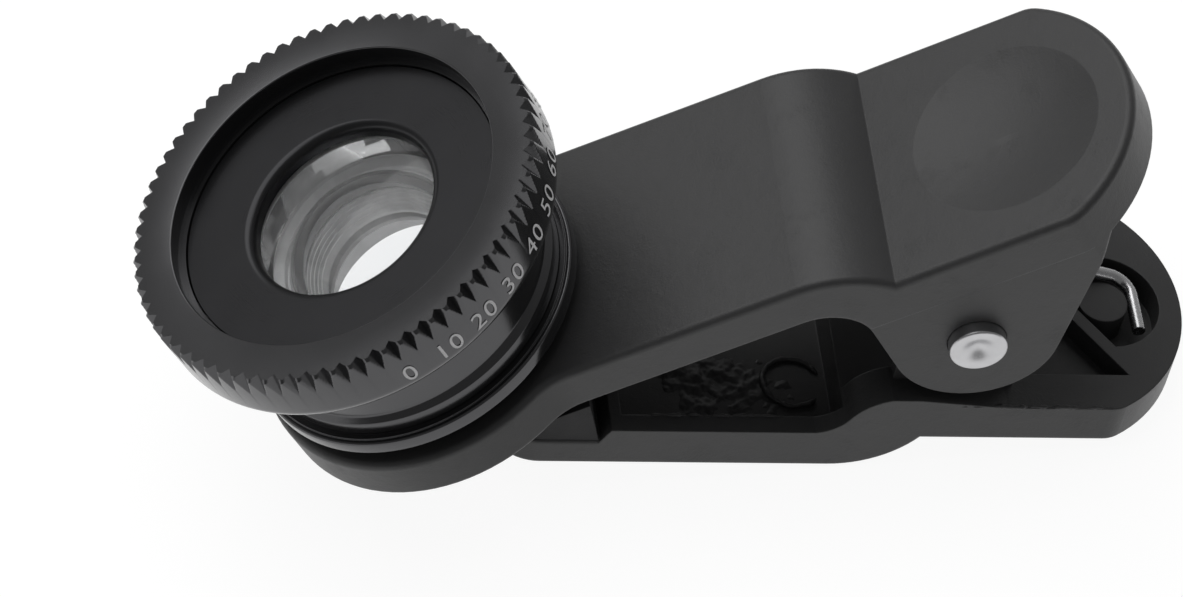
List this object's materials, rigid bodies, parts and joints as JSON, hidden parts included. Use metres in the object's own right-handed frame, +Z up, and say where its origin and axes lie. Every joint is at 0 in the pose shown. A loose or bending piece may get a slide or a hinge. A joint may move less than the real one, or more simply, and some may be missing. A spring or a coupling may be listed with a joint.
{
  "type": "clip on phone lens",
  "caption": "Sprung black plastic clip whose jaw carries a screwed-in wide-angle lens with a knurled front ring.",
  "frame": {"origin": "on the floor below the middle of the whole length, on the middle plane of the clip", "axes": "+X along the clip towards its thumb end, +Y across the clip, +Z up from the floor"},
  "size_m": [0.0612, 0.025, 0.0236],
  "materials": {
    "clip_plastic": "satin",
    "pad_rubber": "matt",
    "pin_steel": "ground",
    "spring_steel": "drawn",
    "lens_metal": "black anodised",
    "face_metal": "black, satin",
    "inner_metal": "black, matt",
    "washer_rubber": "matt",
    "lens_glass": "polished, coated"
  },
  "bodies": {
    "lower": {"lower_arm": "clip_plastic", "lower_jaw_pad": "pad_rubber", "pivot_pin": "pin_steel", "torsion_spring": "spring_steel"},
    "upper": {"upper_arm": "clip_plastic", "upper_jaw_pad": "pad_rubber"},
    "carrier": {"seat_washer": "washer_rubber"},
    "lens": {"mounting_base": "lens_metal", "barrel": "lens_metal", "knurled_head": "lens_metal", "face_plate": "face_metal", "glass_seal": "washer_rubber", "front_glass": "lens_glass", "front_spacer": "inner_metal", "inner_sleeve": "inner_metal", "rear_glass": "lens_glass", "rear_retainer": "inner_metal"}
  },
  "joints": [
    {"name": "clip_hinge", "type": "hinge", "parent": "lower", "child": "upper", "pos_m": [0.01676, 0, 0.01083], "axis": [0, 1, 0], "range_deg": [0, 42], "stiffness_Nm_per_rad": 0.006, "springref_deg": -57.3, "deforming": ["torsion_spring"]},
    {"name": "lens_lift", "type": "slide", "parent": "upper", "child": "carrier", "axis": [-0.4264, 0, 0.9045], "range_m": [0, 0.0015]},
    {"name": "lens_screw", "type": "hinge", "parent": "carrier", "child": "lens", "pos_m": [-0.0128, 0, 0.00436], "axis": [-0.4264, 0, 0.9045], "range_deg": [0, 720]}
  ],
  "couplings": [
    {"joint": "lens_screw", "follows": "lens_lift", "rad_per_m": 8377.5}
  ]
}
